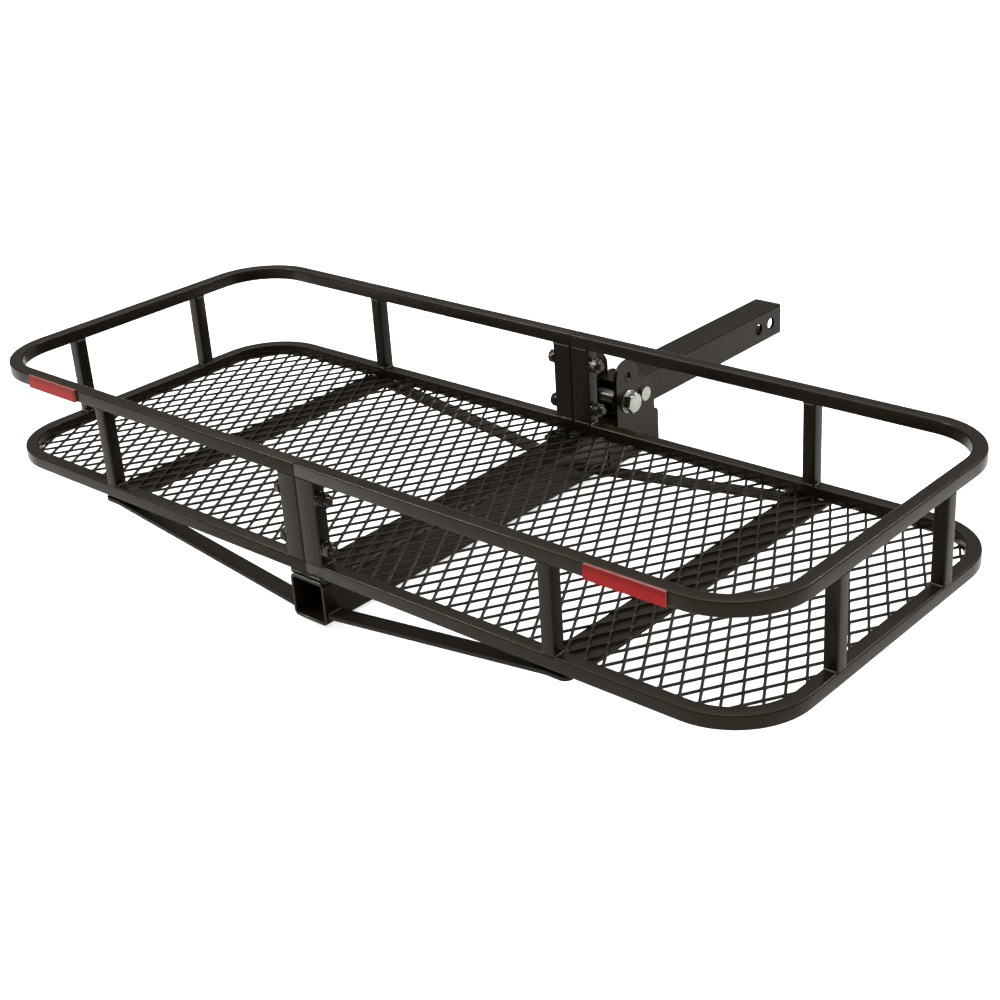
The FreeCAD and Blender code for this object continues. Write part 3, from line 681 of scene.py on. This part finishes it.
def weld_mesh(shape, side):
    """Spot welds of one floor mesh along its long rails and its end rail."""
    z, half, radius = 3.0, 5, 1.5
    for i in range(1, 12):
        x = side * (i * 52.0)
        for sy in (-1, 1):
            y = sy * (HALF_WIDTH - TUBE - 0.5)
            shape.bead((x - half, y, z), (x + half, y, z), radius, next(weld_seeds))
    x = side * (HALF_LENGTH - TUBE - 0.5)
    for y in (-140, -70, 0, 70, 140):
        shape.bead((x, y - half, z), (x, y + half, z), radius, next(weld_seeds))


def weld_main_tube(shape):
    """Braces, saddle plates and ear plates to the tube, then beads at its front end."""
    side_x = MAIN_SIZE / 2 + 0.4
    for sx in (-1, 1):
        for sy in (-1, 1):
            seed = next(weld_seeds)
            # x, centre y, z, half length, radius, seed
            for x, y, z, half, radius, bead_seed in (
                    (side_x, sy * (HALF_WIDTH - 13.5), -50.2, 11, 1.7, seed * 7 - 50),
                    (side_x, sy * (HALF_WIDTH - 13.5), -55.6, 11, 1.7, seed * 7 - 55),
                    (29.0, sy * 249, -6.4, 22, 1.9, seed * 9),
                    (29.6, sy * 265, -0.6, 8, 1.9, seed * 13)):
                shape.bead((sx * x, y - half, z), (sx * x, y + half, z), radius, bead_seed)
        seed = next(weld_seeds)
        shape.bead((sx * side_x, MAIN_BACK, -63.0), (sx * side_x, MAIN_BACK, -9.0),
                   radius=1.6, seed=seed * 2, up=X_AXIS)
        shape.bead((sx * 25.6, 303.0, -5.6), (sx * 25.6, 318.0, -5.6),
                   radius=1.8, seed=seed * 4)
    # start x, end x, y, z, radius, seed
    for x0, x1, y, z, radius, seed in ((-26.0, 26.0, -275.6, -6.2, 1.3, 501),
                                       (-27.0, -8.0, -275.2, -0.4, 1.2, 502),
                                       (4.0, 27.0, -275.2, -0.4, 1.2, 503)):
        shape.bead((x0, y, z), (x1, y, z), radius, seed)


welds = Shape()
for _, *post in posts:
    weld_post(welds, *post)
for side in (-1, 1):
    weld_mesh(welds, side)
weld_main_tube(welds)
welds.make("weld_beads", WELD, "frame_black")


# ------------------------------------------------------------------ fasteners
# Profile rows are (radius, height[, width across flats]).
def thread_rows(radius, start, end, pitch):
    """Ridges from start to a flat tip at end."""
    root = radius - 0.55 * pitch
    rows = []
    height = start
    while height < end - pitch:
        rows += [(root, height), (radius, height + pitch * 0.5)]
        height += pitch
    return rows + [(root, height), (radius - 0.8 * pitch, end), (0.0, end)]


def make_set(prefix, bolts, nuts, washers):
    for shape, part, suffix in ((bolts, "bolts", "hex"), (nuts, "nuts", "hex"),
                                (washers, "washers", "flat")):
        node = f"{prefix}_{part}"
        shape.make(f"{node}_{suffix}", FASTENER_COAT, "black_fastener", replaces=node)


def make_seam_fasteners():
    """Bolts along X through both seam posts: heads on the left, nuts on the right."""
    radius, grip = 5.9, 2 * SEAM_FACE
    head = [(0.0, 10.4), (8.8, 10.4, 18.0), (10.4, 9.5, 18.0), (10.4, 3.0, 18.0),
            (9.4, 2.4, 18.0), (0.0, 2.4)]
    shank = [(0.0, 0.0), (radius, 0.1), (radius, grip + 2.0)]
    shank += thread_rows(radius, grip + 2.0, grip + 18.6, pitch=1.75)
    washer = [(10.0, 0.0), (10.4, 0.4), (10.4, 2.0), (10.0, 2.4), (6.2, 2.4), (6.2, 0.0)]
    nut = [(9.2, 2.4, 18.0), (10.4, 3.1, 18.0), (10.4, 11.6, 18.0), (9.1, 12.4, 18.0),
           (6.8, 12.4), (radius, 11.6), (radius, 2.4)]
    bolts, nuts, washers = Shape(), Shape(), Shape()
    for sy in (-1, 1):
        for z in (41.5, 109.0):
            left, right = (-SEAM_FACE, sy * RAIL_Y, z), (SEAM_FACE, sy * RAIL_Y, z)
            spin = random.Random(int(z) + sy).uniform(0, 1)
            bolts.lathe(head, left, "-x", 48, spin + 0.4)
            washers.ring(washer, left, "-x", 40)
            bolts.lathe(shank, left, "x", 28)
            washers.ring(washer, right, "x", 40)
            nuts.ring(nut, right, "x", 48, spin)
    make_set("seam", bolts, nuts, washers)


def make_floor_fasteners():
    """Upright bolts through the floor beside the seam."""
    bolt = [(0.0, 9.0), (6.3, 9.0, 13.0), (7.4, 8.3, 13.0), (7.4, 5.2, 13.0),
            (6.6, 4.8, 13.0), (4.0, 4.8), (4.0, -18.0), (3.4, -18.8), (0.0, -18.8)]
    washer = [(8.7, 3.2), (9.0, 3.5), (9.0, 4.5), (8.7, 4.8), (4.2, 4.8), (4.2, 3.2)]
    nut = [(6.6, -16.8, 13.0), (7.5, -16.2, 13.0), (7.5, -10.6, 13.0), (6.6, -10.0, 13.0),
           (4.0, -10.0), (4.0, -16.8)]
    bolts, nuts, washers = Shape(), Shape(), Shape()
    for sx in (-1, 1):
        for sy in (-1, 1):
            centre = (sx * 13.0, sy * 243.0, 0.0)
            spin = sx * 0.3 + sy * 0.2
            bolts.lathe(bolt, centre, "z", 36, spin)
            washers.ring(washer, centre, "z", 36)
            nuts.ring(nut, centre, "z", 36, spin)
    make_set("floor", bolts, nuts, washers)


def make_pivot_fasteners():
    """One large bolt along X, head on the right and nut on the left."""
    radius = 9.0
    span = 2 * PIVOT_FACE    # between the washer seats
    head_seat = (PIVOT_FACE + PIVOT_WASHER, PIVOT_Y, PIVOT_Z)
    head = [(0.0, 11.0), (11.6, 11.0), (12.2, 10.7), (14.0, 10.9, 28.0), (16.3, 9.6, 28.0),
            (16.3, 0.6, 28.0), (13.6, 0.0, 28.0), (radius, 0.0), (radius, -PIVOT_WASHER)]
    shank = [(radius, 0.0), (radius, span + 3.0), (radius, span + 6.0)]
    shank += thread_rows(radius, span + 6.5, span + 23.5, pitch=2.0)
    bolt = Shape()
    bolt.lathe(head, head_seat, "x", 72, spin=0.22)
    bolt.lathe(shank, head_seat, "-x", 48)
    bolt.make("pivot_bolt_hex", ZINC, "zinc", replaces="pivot_bolt")

    washer_rows = [(17.0, 0.02), (17.4, 0.4), (17.4, 2.5), (16.9, PIVOT_WASHER),
                   (9.4, PIVOT_WASHER), (9.1, 2.7), (9.1, 0.02)]
    for node, sign, axis in (("pivot_head_washer", 1, "x"), ("pivot_nut_washer", -1, "-x")):
        washer = Shape()
        washer.ring(washer_rows, (sign * PIVOT_FACE, PIVOT_Y, PIVOT_Z), axis, 64)
        washer.make(node + "_flat", ZINC, "zinc", replaces=node)

    nut = Shape()
    nut.ring([(13.6, 3.0, 28.0), (16.3, 4.2, 28.0), (16.3, 16.8, 28.0), (13.6, 18.0, 28.0),
              (10.2, 18.0), (radius, 17.0), (radius, PIVOT_WASHER)],
             (-PIVOT_FACE, PIVOT_Y, PIVOT_Z), "-x", 72, spin=0.4)
    nut.make("pivot_nut_hex", ZINC, "zinc", replaces="pivot_nut")


make_seam_fasteners()
make_floor_fasteners()
make_pivot_fasteners()


# ------------------------------------------------------------------ reflectors
def reflector_slab(x, depths, section, end_scale):
    """Slab on the front of the top rail; depths are measured forward of the rail face."""
    shape = Shape()
    shape.sweep([((x, -HALF_WIDTH - depth, HEIGHT - TUBE / 2), X_AXIS, Z_AXIS)
                 for depth in depths], section, scales=[1.0, 1.0, end_scale])
    return shape


for side, side_name in SIDES:
    node = side_name + "_reflector"
    x = side * 503.0 + 5.0
    base = reflector_slab(x, (-0.3, 2.2, 2.9), round_rect(108.0, TUBE - 0.4, 1.6, 4), 0.992)
    base.make(node + "_base", RIM, "reflector_red")
    lens = reflector_slab(x, (0.5, 3.2, 3.7), round_rect(107.0, TUBE - 1.3, 0.9, 4), 0.995)
    lens.make(node + "_lens", REFLECTOR, "reflector_red", replaces=node)


# ------------------------------------------------------------------ CAD pieces kept as they are
def dress(node, material, edge_radius):
    """Give a CAD piece its material and rounded edges (radius in mm)."""
    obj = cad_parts[node]
    if not obj.material_slots:
        obj.data.materials.append(None)
    for slot in obj.material_slots:
        slot.link = "OBJECT"
        slot.material = material
    bevel = obj.modifiers.new("edge_round", "BEVEL")
    bevel.width = edge_radius * MM
    bevel.segments = 3
    bevel.limit_method = "ANGLE"
    bevel.angle_limit = math.radians(40)
    bevel.harden_normals = False
    bevel.use_clamp_overlap = True


for node, material, edge_radius in (
        ("left_floor_strap", STRAP_COAT, 0.7), ("right_floor_strap", STRAP_COAT, 0.7),
        ("front_saddle_plate", STRAP_COAT, 0.7), ("back_saddle_plate", STRAP_COAT, 0.7),
        ("front_left_brace", STRAP_COAT, 0.9), ("front_right_brace", STRAP_COAT, 0.9),
        ("back_left_brace", STRAP_COAT, 0.9), ("back_right_brace", STRAP_COAT, 0.9),
        ("left_ear_plate", FRAME_COAT, 0.7), ("right_ear_plate", FRAME_COAT, 0.7),
        ("shank_tube", SHANK_COAT, 0.7), ("pivot_bush", BUSH_STEEL, 0.3),
        ("lock_pin", ZINC, 0.6)):
    dress(node, material, edge_radius)


# ------------------------------------------------------------------ floor, light, camera
def make_floor():
    """Large square just below the lowest point of the product."""
    half = 14
    z = min(cad_box[0][2], -0.083) - 0.004
    mesh = bpy.data.meshes.new("studio_floor")
    mesh.from_pydata([(-half, -half, z), (half, -half, z), (half, half, z), (-half, half, z)],
                     [], [(0, 1, 2, 3)])
    floor = bpy.data.objects.new("studio_floor", mesh)
    bpy.context.scene.collection.objects.link(floor)
    mesh.materials.append(floor_paint())


def make_world():
    """Warm light, dim at the horizon and bright overhead; the camera sees plain white."""
    world = bpy.data.worlds.new("studio_world")
    bpy.context.scene.world = world
    world.use_nodes = True
    tree = world.node_tree
    sky = next(n for n in tree.nodes if n.type == "BACKGROUND")
    output = next(n for n in tree.nodes if n.type == "OUTPUT_WORLD")
    direction = add_node(tree, "TexCoord").outputs["Generated"]
    height = add_node(tree, "SeparateXYZ", {0: direction}).outputs["Z"]
    falloff, overhead, horizon = 4.0, 5.0, 0.18
    above = calculate(tree, "MAXIMUM", height, 0.0)
    glow = calculate(tree, "POWER", above, falloff)
    strength = calculate(tree, "MULTIPLY_ADD", glow, overhead, horizon)
    feed(sky, {"Color": (1.0, 0.97, 0.935, 1), "Strength": strength})
    backdrop = add_node(tree, "Background", {"Color": (1, 1, 1, 1), "Strength": 1.1})
    camera_ray = add_node(tree, "LightPath").outputs["Is Camera Ray"]
    mixed = add_node(tree, "MixShader",
                     {0: camera_ray, 1: sky.outputs[0], 2: backdrop.outputs[0]})
    feed(output, {0: mixed.outputs[0]})


def area_light(name, location, target, size, power):
    light = bpy.data.lights.new(name, "AREA")
    light.shape = "SQUARE"
    light.size = size
    light.energy = power
    obj = bpy.data.objects.new(name, light)
    obj.location = location
    aim = Vector(target) - Vector(location)
    obj.rotation_euler = aim.to_track_quat("-Z", "Y").to_euler()
    bpy.context.scene.collection.objects.link(obj)


def make_camera(location, yaw, pitch, roll):
    """Camera turned yaw degrees left of +Y, pitched down, then rolled about its view."""
    yaw, pitch, roll = math.radians(yaw), math.radians(pitch), math.radians(roll)
    forward = Vector((-math.sin(yaw) * math.cos(pitch), math.cos(yaw) * math.cos(pitch),
                      -math.sin(pitch)))
    level_right = Vector((math.cos(yaw), math.sin(yaw), 0.0))
    level_up = level_right.cross(forward)
    right = level_right * math.cos(roll) + level_up * math.sin(roll)
    up = -level_right * math.sin(roll) + level_up * math.cos(roll)
    data = bpy.data.cameras.new("camera")
    data.sensor_width = 36.0
    data.lens = 61.19
    data.clip_end = 60.0
    camera = bpy.data.objects.new("camera", data)
    rows = [(right[i], up[i], -forward[i], location[i]) for i in range(3)]
    camera.matrix_world = Matrix((*rows, (0, 0, 0, 1)))
    bpy.context.scene.collection.objects.link(camera)
    bpy.context.scene.camera = camera


make_floor()
bpy.context.scene.view_settings.view_transform = "Standard"
bpy.context.scene.view_settings.look = "None"
make_world()
area_light("key_light", location=(-2.3, -2.4, 2.6), target=(0, -0.7, 0), size=0.8, power=80)
area_light("back_light", location=(1.7, 1.9, 2.4), target=(0.2, -0.6, 0), size=0.7, power=50)
make_camera(location=(1.4736253824, -2.1849983488, 0.956326912),
            yaw=43.12, pitch=25.406, roll=-3.996)
